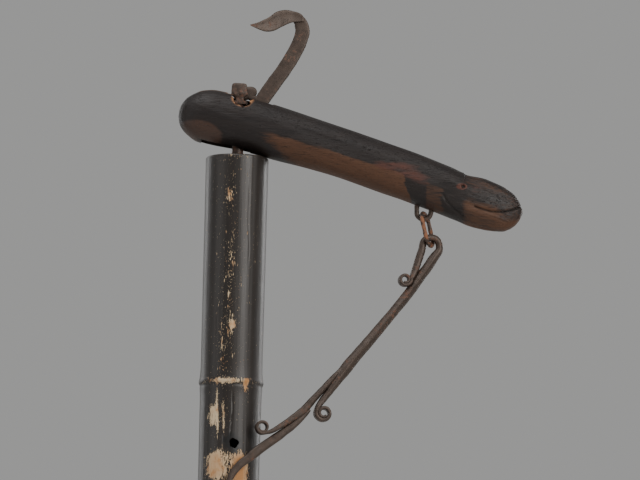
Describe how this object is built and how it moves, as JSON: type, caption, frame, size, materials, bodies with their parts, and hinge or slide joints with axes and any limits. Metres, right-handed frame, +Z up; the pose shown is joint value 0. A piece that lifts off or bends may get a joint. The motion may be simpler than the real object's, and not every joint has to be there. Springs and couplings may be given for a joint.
{
  "type": "jizaikagi (adjustable hearth pot hook)",
  "caption": "Hearth pot hook held working end up: a dark bamboo tube with a sliding iron rod and hook, a carved wooden lever on its rim, and a forged iron brace with a chain ring.",
  "frame": {"origin": "centre of the rope hole across the tube, near its lower end", "axes": "+Z up along the tube towards the hook, +X towards the lever's tail, Y across the lever"},
  "size_m": [0.364, 0.0888, 1.1585],
  "materials": {
    "bamboo": "smoked and worn, semi-gloss",
    "wood": "smoked and worn",
    "iron": "forged, dark scale",
    "rusty_iron": "rusted"
  },
  "bodies": {
    "tube": {"bamboo_tube": "bamboo", "tube_staple": "iron"},
    "lever": {"lever_arm": "wood", "lever_staple": "iron"},
    "ring": {"chain_ring": "rusty_iron"},
    "brace": {"brace_upper_bar": "iron", "brace_tongue": "iron", "brace_foot_bar": "iron"},
    "rod": {"slide_rod": "rusty_iron", "rod_fork": "rusty_iron", "hook_pin": "iron", "rod_bobbin": "wood", "bobbin_washer": "iron", "bobbin_peg": "iron"},
    "hook": {"pot_hook": "iron"}
  },
  "joints": [
    {"name": "rod_slide", "type": "slide", "parent": "tube", "child": "rod", "axis": [0, 0, 1], "range_m": [0, 0.5]},
    {"name": "hook_swing", "type": "hinge", "parent": "rod", "child": "hook", "pos_m": [0.002, 0, 1.044], "axis": [0, 1, 0], "range_deg": [-50, 0]},
    {"name": "lever_tilt", "type": "hinge", "parent": "tube", "child": "lever", "pos_m": [0.033, 0, 0.975], "axis": [0, 1, 0], "range_deg": [-2, 0]},
    {"name": "ring_swing", "type": "hinge", "parent": "lever", "child": "ring", "pos_m": [0.1968, 0, 0.92135], "axis": [0, 1, 0], "range_deg": [0, 16]},
    {"name": "brace_swing", "type": "hinge", "parent": "tube", "child": "brace", "pos_m": [-0.007, -0.0385, 0.617], "axis": [0, 1, 0], "range_deg": [-1.5, 0]}
  ],
  "couplings": [
    {"joint": "brace_swing", "follows": "lever_tilt", "ratio": 0.64},
    {"joint": "ring_swing", "follows": "lever_tilt", "ratio": -7.4}
  ]
}
